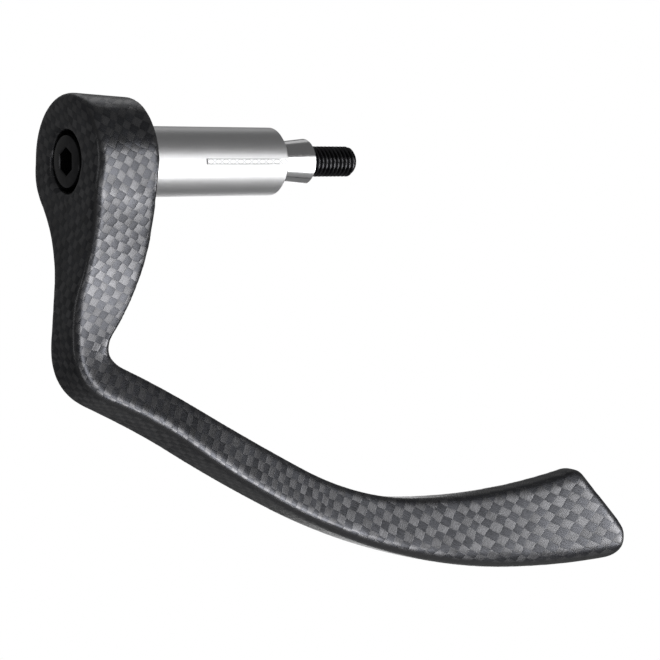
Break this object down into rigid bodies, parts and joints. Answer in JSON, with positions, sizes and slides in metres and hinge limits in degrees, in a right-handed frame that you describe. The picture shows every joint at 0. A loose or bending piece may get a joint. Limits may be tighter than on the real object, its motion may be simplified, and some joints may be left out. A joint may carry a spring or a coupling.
{
  "type": "lever guard",
  "caption": "Carbon-fibre motorbike lever guard: a curved blade with a flared paddle tip on a round boss, clamped in the bar end by an expanding plug.",
  "frame": {"origin": "on the bar's axis, at the boss's inboard face, where the bar end seats", "axes": "+X along the bar, inboard, out of the plug's end; +Z from the blade back to the bar, square to it; Y is square to the plane of bar and blade"},
  "size_m": [0.1894, 0.0328, 0.1363],
  "materials": {
    "carbon": "satin clear coat over plain-weave carbon cloth",
    "turned_aluminium": "fine turned, plain",
    "black_steel": "black oxide"
  },
  "bodies": {
    "guard": {"guard_blade": "carbon", "expander_sleeve": "turned_aluminium"},
    "screw": {"clamp_screw": "black_steel"},
    "cone": {"expander_cone": "turned_aluminium"}
  },
  "joints": [
    {"name": "screw_turn", "type": "hinge", "parent": "guard", "child": "screw", "pos_m": [0, 0, 0], "axis": [1, 0, 0], "range_deg": [-2880, 0]},
    {"name": "cone_draw", "type": "slide", "parent": "guard", "child": "cone", "axis": [1, 0, 0], "range_m": [0, 0.01]}
  ],
  "couplings": [
    {"joint": "cone_draw", "follows": "screw_turn", "m_per_rad": -0.00019894}
  ]
}
